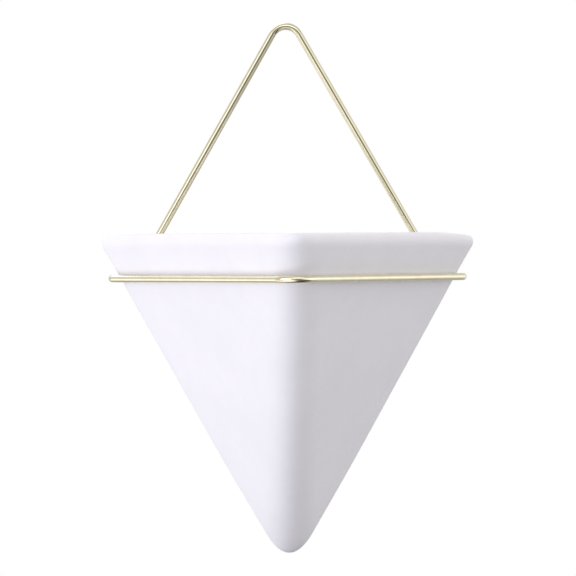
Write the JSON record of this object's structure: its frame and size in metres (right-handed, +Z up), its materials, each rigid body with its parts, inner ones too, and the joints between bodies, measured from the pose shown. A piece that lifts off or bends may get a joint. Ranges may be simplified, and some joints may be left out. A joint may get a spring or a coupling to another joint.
{
  "type": "wall planter",
  "caption": "Wall planter: tapering triangular ceramic pot with a flat back that drops into a wire hoop, hung from a wall hook by an inverted-V wire hanger.",
  "frame": {"origin": "inside the hanger's crown, at the point of the wire where a wall hook or nail bears, midway through the wire's thickness", "axes": "+Z up; +Y to the wall, so the wire frame's back touches the wall plane 1.8 mm behind the origin; -Y to the room; X along the wall"},
  "size_m": [0.1864, 0.1685, 0.2648],
  "materials": {
    "ceramic": "matte white outside, satin glaze inside",
    "plated_wire": "polished pale brass plate on drawn wire",
    "plated_weld": "plated weld bead"
  },
  "bodies": {
    "wire_frame": {"hoop_wire": "plated_wire", "hanger_wire": "plated_wire", "hoop_seam_weld": "plated_weld", "left_foot_weld": "plated_weld", "right_foot_weld": "plated_weld"},
    "pot": {"ceramic_pot": "ceramic"}
  },
  "joints": [
    {"name": "pot_lift", "type": "slide", "parent": "wire_frame", "child": "pot", "axis": [0, 0, 1], "range_m": [0, 0.15]}
  ]
}
